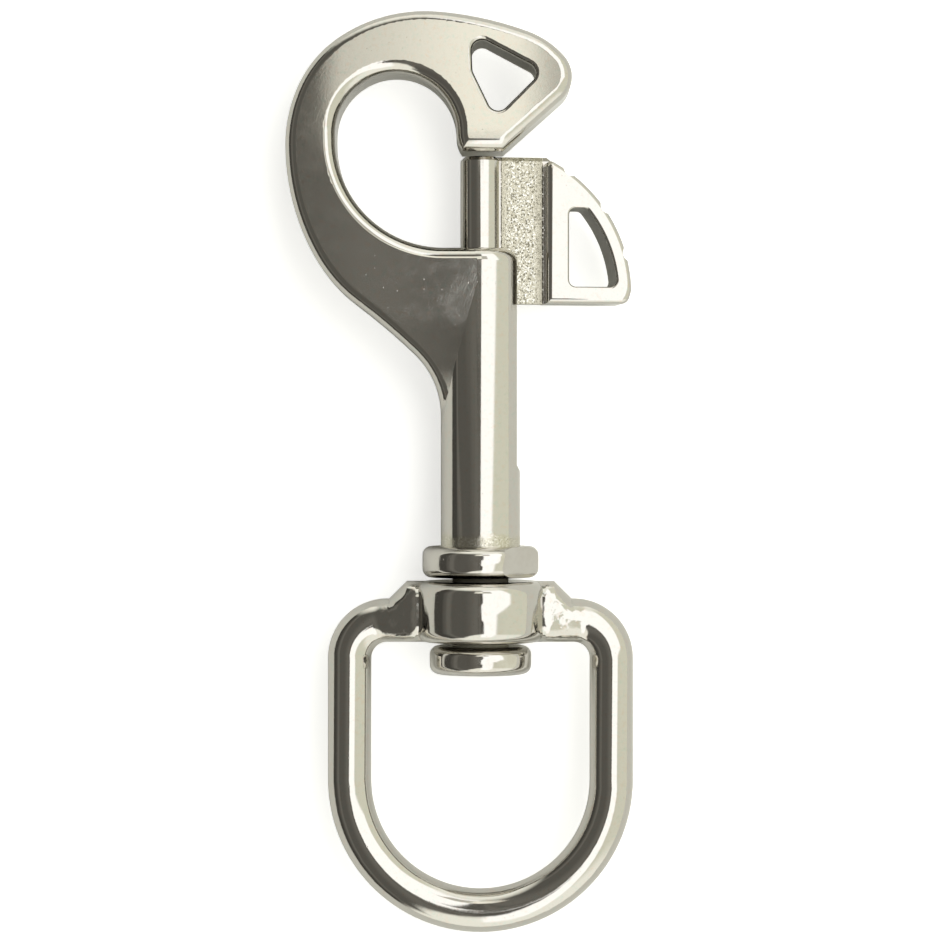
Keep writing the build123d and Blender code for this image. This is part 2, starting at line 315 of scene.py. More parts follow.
def in_world(tree, vector, kind):
    """A vector or a normal of the object's own space, turned into the world's."""
    return put(tree, "ShaderNodeVectorTransform", {0: vector}, vector_type=kind,
               convert_from="OBJECT", convert_to="WORLD").outputs[0]


def new_group(name, inputs, outputs):
    """An empty shader node group with named sockets: (name, kind, default)."""
    tree = bpy.data.node_groups.new(name, "ShaderNodeTree")
    kinds = {"number": "NodeSocketFloat", "vector": "NodeSocketVector"}
    for label, kind, default in inputs:
        socket = tree.interface.new_socket(name=label, in_out="INPUT", socket_type=kinds[kind])
        if default is not None:
            socket.default_value = default
    for label, kind in outputs:
        tree.interface.new_socket(name=label, in_out="OUTPUT", socket_type=kinds[kind])
    return tree, tree.nodes.new("NodeGroupInput").outputs, tree.nodes.new("NodeGroupOutput").inputs


def use_group(tree, name, **inputs):
    """Places a shared group in a tree and returns its outputs."""
    node = tree.nodes.new("ShaderNodeGroup")
    node.node_tree = bpy.data.node_groups[name]
    for label, value in inputs.items():
        join(tree, value, node.inputs[label.replace("_", " ").capitalize()])
    return node.outputs


# Shared effects: each group gives heights in metres, or masks from 0 to 1

def make_hand_polish_group():
    """Slow waves that a polishing wheel leaves, and a haze that varies over them."""
    tree, given, result = new_group(
        "Hand polish",
        [("Vector", "vector", None), ("Wave size", "number", 6 * MM), ("Wave depth", "number", 0.02 * MM)],
        [("Height", "number"), ("Haze", "number")])
    scale = maths(tree, "DIVIDE", 1.0, given["Wave size"])
    waves = noise(tree, given["Vector"], scale, 1.0, 0.4)
    join(tree, product(tree, waves, given["Wave depth"]), result["Height"])
    apart = moved(tree, given["Vector"], (0.3, 0.1, 0.2))
    haze = noise(tree, apart, product(tree, scale, 3.0), 4.0, 0.6)
    join(tree, ease(tree, haze, 0.35, 0.7), result["Haze"])


def make_scratches_group():
    """Fine straight scratches along one direction: noise drawn out along it, kept where it peaks."""
    tree, given, result = new_group(
        "Fine scratches",
        [("Vector", "vector", None), ("Turn", "vector", (0, 0, 0)), ("Spacing", "number", 0.3 * MM),
         ("Depth", "number", 0.001 * MM)],
        [("Height", "number"), ("Mask", "number")])
    turned = put(tree, "ShaderNodeVectorRotate", {"Vector": given["Vector"], "Rotation": given["Turn"]},
                 rotation_type="EULER_XYZ").outputs[0]
    drawn_out = put(tree, "ShaderNodeVectorMath", {0: turned, 1: (1.0, 0.035, 1.0)},
                    operation="MULTIPLY").outputs[0]
    scale = maths(tree, "DIVIDE", 1.0, given["Spacing"])
    lines = ease(tree, noise(tree, drawn_out, scale, 2.0, 0.7), 0.60, 0.74)
    join(tree, product(tree, lines, given["Depth"], -1.0), result["Height"])
    join(tree, lines, result["Mask"])


def make_pits_group():
    """Small round pits of the casting: the middles of some cells of a cell pattern."""
    tree, given, result = new_group(
        "Casting pits",
        [("Vector", "vector", None), ("Spacing", "number", 0.8 * MM), ("Share", "number", 0.2),
         ("Depth", "number", 0.03 * MM)],
        [("Height", "number"), ("Mask", "number")])
    scale = maths(tree, "DIVIDE", 1.0, given["Spacing"])
    cells = put(tree, "ShaderNodeTexVoronoi", {"Vector": given["Vector"], "Scale": scale})
    chance = put(tree, "ShaderNodeSeparateColor", {0: cells.outputs["Color"]}).outputs[0]
    chosen = maths(tree, "LESS_THAN", chance, given["Share"])
    middle = ease(tree, cells.outputs["Distance"], 0.20, 0.06)
    pits = product(tree, middle, chosen)
    join(tree, product(tree, pits, given["Depth"], -1.0), result["Height"])
    join(tree, pits, result["Mask"])


def make_raw_casting_group():
    """The rough skin of a mould: grains with shiny tips, and small round hollows that differ in size."""
    tree, given, result = new_group(
        "Raw casting",
        [("Vector", "vector", None), ("Grain", "number", 0.35 * MM), ("Depth", "number", 0.05 * MM)],
        [("Height", "number"), ("Hollows", "number"), ("Tips", "number")])
    scale = maths(tree, "DIVIDE", 1.0, given["Grain"])
    specks = put(tree, "ShaderNodeTexVoronoi", {"Vector": given["Vector"], "Scale": scale})
    size = product(tree, parts_of(tree, specks.outputs["Color"])[0], 0.50)
    hollows = ease(tree, maths(tree, "SUBTRACT", size, specks.outputs["Distance"]), -0.04, 0.06)
    grains = noise(tree, given["Vector"], scale, 2.0, 0.65)
    mixed = total(tree, product(tree, grains, 0.9), product(tree, hollows, -0.45))
    join(tree, product(tree, mixed, given["Depth"]), result["Height"])
    join(tree, hollows, result["Hollows"])
    join(tree, ease(tree, grains, 0.52, 0.60), result["Tips"])


def make_tarnish_group():
    """Soft uneven stains."""
    tree, given, result = new_group(
        "Tarnish",
        [("Vector", "vector", None), ("Size", "number", 3 * MM)],
        [("Stain", "number"), ("Fleck", "number")])
    scale = maths(tree, "DIVIDE", 1.0, given["Size"])
    stain = noise(tree, given["Vector"], scale, 4.0, 0.65)
    join(tree, ease(tree, stain, 0.42, 0.72), result["Stain"])
    apart = moved(tree, given["Vector"], (0.2, 0.4, 0.1))
    fleck = noise(tree, apart, product(tree, scale, 7.0), 3.0, 0.6)
    join(tree, ease(tree, fleck, 0.52, 0.72), result["Fleck"])


def make_turning_group():
    """Rings that a lathe leaves: a wave along the axis, which is Y, with its phase disturbed by noise."""
    tree, given, result = new_group(
        "Turning marks",
        [("Vector", "vector", None), ("Pitch", "number", 0.12 * MM), ("Depth", "number", 0.0006 * MM)],
        [("Height", "number")])
    along = parts_of(tree, given["Vector"])[1]
    shake = noise(tree, given["Vector"], 900.0, 2.0)
    phase = total(tree, product(tree, maths(tree, "DIVIDE", along, given["Pitch"]), 2 * pi),
                  product(tree, shake, 5.0))
    rings = maths(tree, "MULTIPLY_ADD", maths(tree, "SINE", phase), 0.5, 0.5)
    join(tree, product(tree, rings, given["Depth"]), result["Height"])


def make_grain_group():
    """The grain of cast steel under polish: a fine unevenness, and faint warm and cool clouds."""
    tree, given, result = new_group(
        "Steel grain",
        [("Vector", "vector", None), ("Size", "number", 0.4 * MM), ("Depth", "number", 0.001 * MM)],
        [("Height", "number"), ("Warm", "number"), ("Cool", "number")])
    scale = maths(tree, "DIVIDE", 1.0, given["Size"])
    uneven = noise(tree, given["Vector"], scale, 4.0, 0.7)
    join(tree, product(tree, uneven, given["Depth"]), result["Height"])
    cloud_scale = product(tree, scale, 0.4)
    for cloud, location, most in (("Warm", (0.1, 0.6, 0.3), 0.8), ("Cool", (0.7, 0.2, 0.9), 0.7)):
        lumps = noise(tree, moved(tree, given["Vector"], location), cloud_scale, 5.0, 0.7)
        join(tree, ease(tree, lumps, 0.50, 0.72, 0.0, most), result[cloud])


def make_face_normal_group():
    """The true normal of the hook's two broad faces, worked out from their arcs.

    With d the way past the flat's end and R the arc's radius, the face drops by R - sqrt(R * R - d * d) and
    its normal leans by d / R along Y. Away from the faces the surface keeps its own normal. A facet of the
    mesh lies at most a few hundredths of a millimetre off the true face.
    """
    tree, given, result = new_group("Broad face normal", [("Vector", "vector", None)], [("Normal", "vector")])
    x, y, z = parts_of(tree, given["Vector"])
    height = maths(tree, "SUBTRACT", z, AXIS_Z)
    lean, drop = 0.0, 0.0
    for way, radius, sign in ((maths(tree, "SUBTRACT", y, FLAT_TOP), NOSE_ARC, 1.0),
                              (maths(tree, "SUBTRACT", FLAT_FOOT, y), NECK_ARC, -1.0)):
        past = maths(tree, "MAXIMUM", way, 0.0)
        lean = maths(tree, "MULTIPLY_ADD", past, sign / radius, lean)
        rest = maths(tree, "SQRT", maths(tree, "SUBTRACT", radius * radius, product(tree, past, past)))
        drop = total(tree, drop, maths(tree, "SUBTRACT", radius, rest))
    face_height = maths(tree, "SUBTRACT", FACE_HEIGHT, drop)
    depth = maths(tree, "SUBTRACT", face_height, maths(tree, "ABSOLUTE", height))
    on_face = between(tree, depth, -0.02 * MM, 0.03 * MM, 0.01 * MM)
    off_barrel = maths(tree, "MAXIMUM", ease(tree, x, FACE_EDGE, FACE_EDGE - 0.1 * MM),
                       ease(tree, y, MOUTH - 0.05 * MM, MOUTH))
    upright = maths(tree, "SQRT", maths(tree, "SUBTRACT", 1.0, product(tree, lean, lean)))
    up_or_down = product(tree, upright, maths(tree, "SIGN", height))
    true_normal = put(tree, "ShaderNodeCombineXYZ", {1: lean, 2: up_or_down}).outputs[0]
    mixed = put(tree, "ShaderNodeMix", data_type="VECTOR")
    join(tree, product(tree, on_face, off_barrel), mixed.inputs[0])
    join(tree, put(tree, "ShaderNodeNewGeometry").outputs["Normal"], mixed.inputs[4])
    join(tree, in_world(tree, true_normal, "NORMAL"), mixed.inputs[5])
    unit = put(tree, "ShaderNodeVectorMath", {0: mixed.outputs[1]}, operation="NORMALIZE").outputs[0]
    join(tree, unit, result["Normal"])


def make_shared_effects():
    """Builds each shared group once."""
    make_face_normal_group()
    make_grain_group()
    make_hand_polish_group()
    make_scratches_group()
    make_pits_group()
    make_raw_casting_group()
    make_tarnish_group()
    make_turning_group()


# Materials

def new_metal(name, colour, roughness):
    """A metal with an empty tree beside its shader: (material, tree, shader, object coordinates)."""
    material = bpy.data.materials.new(name)
    material.use_nodes = True
    material.diffuse_color = (*colour, 1.0)
    tree = material.node_tree
    shader = tree.nodes["Principled BSDF"]
    shader.inputs["Base Color"].default_value = (*colour, 1.0)
    shader.inputs["Metallic"].default_value = 1.0
    shader.inputs["Roughness"].default_value = roughness
    place = tree.nodes.new("ShaderNodeTexCoord").outputs["Object"]
    return material, tree, shader, place


def bumped(tree, shader, height, normal=None):
    """Shades the surface as if it had this height in metres, over its own normal or a given one."""
    bump = put(tree, "ShaderNodeBump", {"Height": height, "Strength": 1.0, "Distance": 1.0})
    if normal is not None:
        join(tree, normal, bump.inputs["Normal"])
    join(tree, bump.outputs["Normal"], shader.inputs["Normal"])


def crowned(tree, place, foot, top, radius):
    """The height of a face ground slightly round along Y between its two ends, as an arc of this radius."""
    off = maths(tree, "SUBTRACT", parts_of(tree, place)[1], (foot + top) / 2)
    return product(tree, off, off, -0.5 / radius)


def cloudy_steel(tree, grain, tarnish, pits):
    """The colour of the polished steel, with warm and cool clouds, faint stains and dark pits."""
    metal = bpy.context.scene.snap_metal
    stain = product(tree, tarnish["Stain"], tarnish["Fleck"], 0.22)
    stain = maths(tree, "MAXIMUM", stain, product(tree, pits["Mask"], 0.55))
    colour = blend_colours(tree, grain["Warm"], (*metal.cast_colour, 1), (*metal.warm_colour, 1))
    colour = blend_colours(tree, grain["Cool"], colour, (*metal.cool_colour, 1))
    return blend_colours(tree, stain, colour, (*metal.tarnish_colour, 1))


def mould_skin(tree, skin, grainy):
    """The colour of the mould's skin, with worn tips lightened as a painted glint and dark hollows where it
    is grainy.
    """
    metal = bpy.context.scene.snap_metal
    tips = product(tree, skin["Tips"], grainy)
    hollows = product(tree, skin["Hollows"], grainy, 0.8)
    colour = blend_colours(tree, tips, (*metal.raw_colour, 1), (*metal.tip_glint_colour, 1))
    return blend_colours(tree, hollows, colour, (*metal.hollow_colour, 1))


def polished_casting(name, scratch_angle, wave=0.003 * MM, wave_size=6 * MM, pit_share=0.10,
                     raw_mask=None, raw_depth=0.10 * MM, dull_and_shade_mask=None, shape=None, normal=None):
    """Hand-polished cast steel.

    raw_mask, dull_and_shade_mask, shape and normal are functions of the tree and the place. raw_mask gives
    how much of the mould's skin is left and how grainy it is, and dull_and_shade_mask gives 1 where the wheel
    hardly reached, which makes the steel rougher and darkens its colour as painted shade.
    shape gives a height that hand work left, in metres, and normal gives the surface's own normal.
    """
    metal = bpy.context.scene.snap_metal
    clear, hazy, raw_haze, dull_haze = 0.065, 0.10, 0.30, 0.35
    material, tree, shader, place = new_metal(name, metal.cast_colour, clear)
    polish = use_group(tree, "Hand polish", vector=place, wave_size=wave_size, wave_depth=wave)
    pits = use_group(tree, "Casting pits", vector=place, spacing=0.55 * MM, share=pit_share, depth=0.003 * MM)
    fine = use_group(tree, "Fine scratches", vector=place, turn=(0, 0, scratch_angle), spacing=0.12 * MM,
                     depth=0.00025 * MM)
    cross = use_group(tree, "Fine scratches", vector=place, turn=(0.2, 0.1, scratch_angle + 1.1),
                      spacing=0.22 * MM, depth=0.00025 * MM)
    tarnish = use_group(tree, "Tarnish", vector=place, size=3.5 * MM)
    grain = use_group(tree, "Steel grain", vector=place, size=0.28 * MM, depth=0.0016 * MM)
    height = total(tree, polish["Height"], pits["Height"], fine["Height"], cross["Height"], grain["Height"])
    colour = cloudy_steel(tree, grain, tarnish, pits)
    uneven = maths(tree, "MULTIPLY_ADD", fine["Mask"], 0.5, polish["Haze"])
    roughness = ease(tree, uneven, 0.0, 1.4, clear, hazy)
    if raw_mask:
        raw, grainy = raw_mask(tree, place)
        skin = use_group(tree, "Raw casting", vector=place, grain=0.26 * MM, depth=raw_depth)
        height = total(tree, height, product(tree, skin["Height"], raw))
        colour = blend_colours(tree, raw, colour, mould_skin(tree, skin, grainy))
        roughness = maths(tree, "MAXIMUM", roughness, product(tree, raw, raw_haze))
    # Painted shade: where the wheel hardly reached, in the holes, the colour is darkened as well as roughened
    if dull_and_shade_mask:
        dull = dull_and_shade_mask(tree, place)
        colour = blend_colours(tree, dull, colour, (*metal.hole_shade_colour, 1))
        roughness = maths(tree, "MAXIMUM", roughness, product(tree, dull, dull_haze))
    if shape:
        height = total(tree, height, shape(tree, place))
    join(tree, colour, shader.inputs["Base Color"])
    join(tree, roughness, shader.inputs["Roughness"])
    bumped(tree, shader, height, normal(tree, place) if normal else None)
    return material


def turned_steel(name, foot, top, crown, shank=None):
    """Turned and polished steel with faint rings round the axis, crowned between foot and top.

    Where the pin's shank starts at a height along Y, what lies above is greasy and reflects only dully.
    """
    metal = bpy.context.scene.snap_metal
    clear, hazy, greasy_haze = 0.07, 0.14, 0.5
    material, tree, shader, place = new_metal(name, metal.turned_colour, clear)
    polish = use_group(tree, "Hand polish", vector=place, wave_size=3 * MM, wave_depth=0.006 * MM)
    rings = use_group(tree, "Turning marks", vector=place, pitch=0.14 * MM, depth=0.0007 * MM)
    pits = use_group(tree, "Casting pits", vector=place, spacing=0.7 * MM, share=0.12, depth=0.012 * MM)
    tarnish = use_group(tree, "Tarnish", vector=place, size=2.5 * MM)
    bumped(tree, shader, total(tree, polish["Height"], rings["Height"], pits["Height"],
                               crowned(tree, place, foot, top, crown)))
    stain = maths(tree, "MAXIMUM", product(tree, tarnish["Stain"], 0.35), product(tree, pits["Mask"], 0.5))
    colour = blend_colours(tree, stain, (*metal.turned_colour, 1), (*metal.tarnish_colour, 1))
    roughness = ease(tree, polish["Haze"], 0.0, 1.0, clear, hazy)
    if shank is not None:
        greasy = ease(tree, parts_of(tree, place)[1], shank - 0.02 * MM, shank + 0.02 * MM)
        colour = blend_colours(tree, greasy, colour, (*metal.raw_colour, 1))
        roughness = maths(tree, "MAXIMUM", roughness, product(tree, greasy, greasy_haze))
        join(tree, maths(tree, "SUBTRACT", 1.0, greasy), shader.inputs["Metallic"])
    join(tree, colour, shader.inputs["Base Color"])
    join(tree, roughness, shader.inputs["Roughness"])
    return material


def drawn_wire(name):
    """Satin spring wire, a little oily and stained."""
    metal = bpy.context.scene.snap_metal
    material, tree, shader, place = new_metal(name, metal.turned_colour, 0.25)
    drawn = use_group(tree, "Fine scratches", vector=place, spacing=0.08 * MM, depth=0.0015 * MM)
    tarnish = use_group(tree, "Tarnish", vector=place, size=1.5 * MM)
    bumped(tree, shader, drawn["Height"])
    join(tree, blend_colours(tree, tarnish["Stain"], (*metal.turned_colour, 1), (*metal.tarnish_colour, 1)),
         shader.inputs["Base Color"])
    join(tree, ease(tree, tarnish["Fleck"], 0.0, 1.0, 0.22, 0.36), shader.inputs["Roughness"])
    return material


def finish_node(node, material):
    """Gives a CAD piece its material, and shading that runs smoothly over its tangent edges."""
    piece = frame["nodes"][node]
    piece.data.materials.clear()
    piece.data.materials.append(material)
    weld = piece.modifiers.new("Joined facets", "WELD")
    weld.merge_threshold = 0.002 * MM
    split = piece.modifiers.new("Sharp edges", "EDGE_SPLIT")
    split.split_angle = bpy.context.scene.snap_metal.crease_angle
    split.use_edge_sharp = False
    shade = piece.modifiers.new("Even shading", "WEIGHTED_NORMAL")
    shade.mode = "FACE_AREA"
    shade.weight = 50


# Pieces

def web_is_raw(tree, place):
    """1 on the plunger's web between the rod and the pad, and 1 on its grainy middle."""
    across = parts_of(tree, place)[0]
    web = between(tree, across, WEB_LEFT, WEB_RIGHT, 0.12 * MM)
    return web, between(tree, across, GRAINY_LEFT, GRAINY_RIGHT, 0.4 * MM)


def barrel_foot_is_raw(tree, place):
    """How raw the band round the barrel's foot is, which the wheel didn't reach, and how grainy."""
    ragged = product(tree, noise(tree, place, 700.0, 3.0), 1.6 * MM)
    along = total(tree, parts_of(tree, place)[1], ragged)
    band = ease(tree, along, BARREL_FOOT + 2.6 * MM, BARREL_FOOT + 1.7 * MM, 0.0, 0.8)
    return band, product(tree, band, 0.7)


def round_bowl(tree, place):
    """1 in the hook's bowl and over its wall, seen from above: the opening's box, widened on four sides."""
    low, high = opening("hook_bowl")
    x, y, _ = parts_of(tree, place)
    return product(tree, between(tree, x, low.x - 4.2 * MM, high.x + 2.5 * MM, 0.1 * MM),
                   between(tree, y, low.y - 4.5 * MM, high.y + 4.5 * MM, 0.1 * MM))


def hole_walls_dull_and_shaded(tree, place):
    """1 on the nose hole's wall below its rounded rims, and less on the bowl's, which is easier to reach.
    Where it is 1 the steel is rougher and its colour is darkened as painted shade.
    """
    height = maths(tree, "SUBTRACT", parts_of(tree, place)[2], AXIS_Z)
    wall = between(tree, height, -PLATE_WALL, PLATE_WALL, 0.15 * MM)
    off_hole = distance_along_plate(tree, place, AXIS_X + NOSE_HOLE_REACH, BARREL_FOOT + NOSE_HOLE_RISE)
    hole = ease(tree, off_hole, NOSE_HOLE_RADIUS + 0.05 * MM, NOSE_HOLE_RADIUS - 0.05 * MM)
    bowl = product(tree, round_bowl(tree, place), 0.3)
    return product(tree, wall, maths(tree, "MAXIMUM", hole, bowl))


def window_walls_dull_and_shaded(tree, place):
    """1 on the walls of the thumb pad's window, below their rims, where the steel is rougher and its colour
    is darkened as painted shade. The pad leans with the plunger.
    """
    x, y, z = parts_of(tree, place)
    sunk = product(tree, maths(tree, "SUBTRACT", x, AXIS_X), sin(PLUNGER_LEAN))
    height = total(tree, maths(tree, "SUBTRACT", z, AXIS_Z), sunk)
    wall = between(tree, height, -PAD_WALL, PAD_WALL, 0.1 * MM)
    off_middle = distance_along_plate(tree, place, AXIS_X + CROWN_REACH, WEB_FOOT + CROWN_RISE)
    below_crown = ease(tree, off_middle, WINDOW_ARC + 0.05 * MM, WINDOW_ARC - 0.05 * MM)
    right_of_side = maths(tree, "GREATER_THAN", x, WINDOW_SIDE)
    above_foot = maths(tree, "GREATER_THAN", y, WINDOW_FOOT)
    return product(tree, wall, below_crown, right_of_side, above_foot)


def broad_faces(tree, place):
    """The normal of the hook, exact on its two broad faces."""
    return use_group(tree, "Broad face normal", vector=place)["Normal"]


class SNAP_OT_cast_hook(bpy.types.Operator):
    """Finish the hook and barrel, one polished casting"""

    bl_idname = "snap.cast_hook"
    bl_label = "Hook and barrel"

    def execute(self, context):
        material = polished_casting("polished_hook", scratch_angle=0.35, raw_mask=barrel_foot_is_raw,
                                    raw_depth=0.012 * MM, dull_and_shade_mask=hole_walls_dull_and_shaded, normal=broad_faces)
        finish_node("hook_body", material)
        return {"FINISHED"}


class SNAP_OT_plunger(bpy.types.Operator):
    """Finish the plunger: polished rod and thumb pad with a raw web"""

    bl_idname = "snap.plunger"
    bl_label = "Plunger"

    def execute(self, context):
        material = polished_casting("polished_plunger", scratch_angle=0.0, wave=0.004 * MM, pit_share=0.08,
                                    raw_mask=web_is_raw, dull_and_shade_mask=window_walls_dull_and_shaded)
        finish_node("plunger", material)
        return {"FINISHED"}


def shoulder_mask(tree, place):
    """1 on the eye's two shoulders, beside the hub."""
    x, y, _ = parts_of(tree, place)
    off_axis = maths(tree, "ABSOLUTE", maths(tree, "SUBTRACT", x, AXIS_X))
    shoulders = between(tree, off_axis, HUB_RADIUS + 0.2 * MM, SHOULDER_END, 0.7 * MM)
    return product(tree, shoulders, maths(tree, "GREATER_THAN", y, HUB_FOOT))


def filed_shoulders(tree, place):
    """The height of the marks that the file left on the shoulders."""
    mark_size, mark_depth = 1.6 * MM, 0.10 * MM
    marks = noise(tree, place, 1 / mark_size, 2.0, 0.5)
    return product(tree, marks, mark_depth, shoulder_mask(tree, place))


def hand_ground_eye(tree, place):
    """The eye's normal, with the hub ground slightly round and the shoulders falling away from it."""
    hub_round, shoulder_fall = 13 * MM, 0.28
    x, y, _ = parts_of(tree, place)
    off_axis = maths(tree, "SUBTRACT", x, AXIS_X)
    off_middle = maths(tree, "SUBTRACT", y, (HUB_FOOT + HUB_TOP) / 2)
    hub = ease(tree, maths(tree, "ABSOLUTE", off_axis), HUB_RADIUS + 0.1 * MM, HUB_RADIUS - 0.1 * MM)
    hub = product(tree, hub, maths(tree, "GREATER_THAN", y, HUB_FOOT))
    lean_along = product(tree, off_middle, 1 / hub_round, hub)
    lean_across = product(tree, maths(tree, "SIGN", off_axis), shoulder_mask(tree, place), shoulder_fall)
    lean = put(tree, "ShaderNodeCombineXYZ", {0: lean_across, 1: lean_along}).outputs[0]
    own_normal = put(tree, "ShaderNodeNewGeometry").outputs["Normal"]
    leaned = put(tree, "ShaderNodeVectorMath", {0: own_normal, 1: in_world(tree, lean, "VECTOR")},
                 operation="ADD").outputs[0]
    return put(tree, "ShaderNodeVectorMath", {0: leaned}, operation="NORMALIZE").outputs[0]


class SNAP_OT_swivel_eye(bpy.types.Operator):
    """Finish the swivel eye, a polished casting"""

    bl_idname = "snap.swivel_eye"
    bl_label = "Swivel eye"

    def execute(self, context):
        material = polished_casting("polished_eye", scratch_angle=0.1, wave=0.008 * MM, wave_size=4 * MM,
                                    pit_share=0.2, shape=filed_shoulders, normal=hand_ground_eye)
        finish_node("swivel_eye", material)
        return {"FINISHED"}


class SNAP_OT_turned_parts(bpy.types.Operator):
    """Finish the swivel pin and its collar nut, both turned"""

    bl_idname = "snap.turned_parts"
    bl_label = "Pin and collar nut"

    def execute(self, context):
        nut = turned_steel("turned_nut", NUT_LOW.y, NUT_HIGH.y, crown=4.5 * MM)
        pin = turned_steel("turned_pin", PIN_FOOT, HEAD_TOP, crown=3.6 * MM, shank=HEAD_TOP)
        finish_node("collar_nut", nut)
        finish_node("swivel_pin", pin)
        return {"FINISHED"}


def coil_line(height, radius, wire, turns, end_turns, steps):
    """A compression spring's centre line as (steps, 3) points and their tangents.

    The angle grows evenly from end to end. The height grows by one wire diameter a turn in the closed
    end turns, and evenly over what is left in the working turns between them.
    """
    angle = np.linspace(0.0, 2 * pi * (turns + 2 * end_turns), steps)
    turn = angle / (2 * pi)
    closed = wire * end_turns
    knots = [0.0, end_turns, end_turns + turns, turns + 2 * end_turns]
    rise = np.interp(turn, knots, [0.0, closed, height - closed, height])
    points = np.stack([radius * np.cos(angle), rise, radius * np.sin(angle)], axis=1)
    tangents = np.gradient(points, axis=0)
    return points, tangents / np.linalg.norm(tangents, axis=1, keepdims=True)


def wire_along(points, tangents, radius, sides):
    """A round wire along a line, as (vertices, faces), its ends closed by a middle point.

    Each point carries a ring in the plane across its tangent: centre + radius * (cos t * n + sin t * b),
    with b the part of the long axis across the tangent and n across both.
    """
    long_axis = np.array([0.0, 1.0, 0.0])
    up = long_axis - tangents * (tangents @ long_axis)[:, None]
    up /= np.linalg.norm(up, axis=1, keepdims=True)
    out = np.cross(up, tangents)
    around = np.linspace(0.0, 2 * pi, sides, endpoint=False)
    rings = (points[:, None, :]
             + radius * np.cos(around)[None, :, None] * out[:, None, :]
             + radius * np.sin(around)[None, :, None] * up[:, None, :])
    count = len(points)
    row = np.arange(count - 1)[:, None] * sides
    here = np.arange(sides)[None, :]
    after = (here + 1) % sides
    quads = np.stack([row + here, row + after, row + sides + after, row + sides + here], axis=2)
    vertices = np.concatenate([rings.reshape(-1, 3), points[:1], points[-1:]])
    last = (count - 1) * sides
    start = [(count * sides, int((k + 1) % sides), int(k)) for k in range(sides)]
    end = [(count * sides + 1, int(last + k), int(last + (k + 1) % sides)) for k in range(sides)]
    return vertices, quads.reshape(-1, 4).tolist() + start + end


def mesh_piece(name, vertices, faces, material, smooth=True):
    """A new object at the origin, with its place in its mesh."""
    mesh = bpy.data.meshes.new(name)
    mesh.from_pydata(vertices.tolist(), [], faces)
    mesh.update()
    mesh.polygons.foreach_set("use_smooth", [smooth] * len(mesh.polygons))
    mesh.materials.append(material)
    piece = bpy.data.objects.new(name, mesh)
    bpy.context.scene.collection.objects.link(piece)
    return piece


class SNAP_OT_return_spring(bpy.types.Operator):
    """Make the return spring with closed ends"""

    bl_idname = "snap.return_spring"
    bl_label = "Return spring"

    def execute(self, context):
        size = context.scene.snap_spring
        half_wire = size.wire / 2
        length = SPRING_HIGH.y - SPRING_LOW.y
        radius = (SPRING_HIGH.x - SPRING_LOW.x) / 2 - half_wire
        steps = int((size.turns + 2 * size.end_turns) * STEPS_A_TURN)
        points, tangents = coil_line(length - size.wire, radius, size.wire, size.turns, size.end_turns, steps)
        points += np.array([AXIS_X, SPRING_LOW.y + half_wire, AXIS_Z])
        vertices, faces = wire_along(points, tangents, half_wire, WIRE_SIDES)
        coil = mesh_piece("return_spring", vertices, faces, drawn_wire("spring_wire"))
        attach(coil, "hook")
        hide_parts("spring")
        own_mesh(coil)
        return {"FINISHED"}


# Stage

def blend_shaders(tree, share, first, second):
    """Shades the surface by the first shader where the share is 0 and by the second where it is 1."""
    mixed = tree.nodes.new("ShaderNodeMixShader")
    join(tree, share, mixed.inputs[0])
    join(tree, first, mixed.inputs[1])
    join(tree, second, mixed.inputs[2])
    join(tree, mixed.outputs[0], tree.nodes.new("ShaderNodeOutputMaterial").inputs["Surface"])


def empty_material(name):
    """A material with an empty tree."""
    material = bpy.data.materials.new(name)
    material.use_nodes = True
    material.node_tree.nodes.clear()
    return material, material.node_tree


def make_floor(colour, camera_glow):
    """A wide pale floor, which the camera sees white but for the object's shadow, and the metal sees pale."""
    reach = 1.5
    corners = np.array([(-reach, -reach, 0), (reach, -reach, 0), (reach, reach, 0), (-reach, reach, 0)])
    material, tree = empty_material("studio_floor")
    paper = put(tree, "ShaderNodeBsdfDiffuse", {"Color": (*colour, 1)}).outputs[0]
    glow = put(tree, "ShaderNodeEmission", {"Color": (1, 1, 1, 1), "Strength": camera_glow}).outputs[0]
    lit = put(tree, "ShaderNodeAddShader", {0: paper, 1: glow}).outputs[0]
    camera_ray = put(tree, "ShaderNodeLightPath").outputs["Is Camera Ray"]
    blend_shaders(tree, camera_ray, paper, lit)
    mesh_piece("floor", corners, [(0, 1, 2, 3)], material, smooth=False)


def panel_share(tree, across, along):
    """1 on the white panel. Its right edge runs out further towards the hook's end, between two limits."""
    edge = maths(tree, "MULTIPLY_ADD", along, 2.4, 37.0)
    edge = maths(tree, "MINIMUM", maths(tree, "MAXIMUM", edge, 29.0), 54.0)
    left_of_edge = ease(tree, maths(tree, "SUBTRACT", edge, across), -3.0, 3.0)
    return product(tree, ease(tree, across, 0.0, 2.0), left_of_edge, between(tree, along, -60.0, 60.0, 8.0))


def screen_share(tree, across, along):
    """1 on the dark screen. Its foot slants down to the left, and its right edge steps back overhead."""
    cut_back = maths(tree, "MAXIMUM", ease(tree, along, 6.5, 10.0, 0.0, 4.0),
                     ease(tree, along, -8.5, -12.0, 0.0, 4.0))
    right_edge = ease(tree, maths(tree, "SUBTRACT", across, cut_back), 1.8, 0.2)
    left_edge = ease(tree, across, -97.0, -91.0)
    slant = maths(tree, "MAXIMUM", maths(tree, "MINIMUM", across, 0.0), -45.0)
    foot = ease(tree, maths(tree, "SUBTRACT", along, product(tree, slant, 0.8)), -32.0, -22.0)
    top = ease(tree, along, 59.0, 49.0)
    return product(tree, right_edge, left_edge, foot, top)


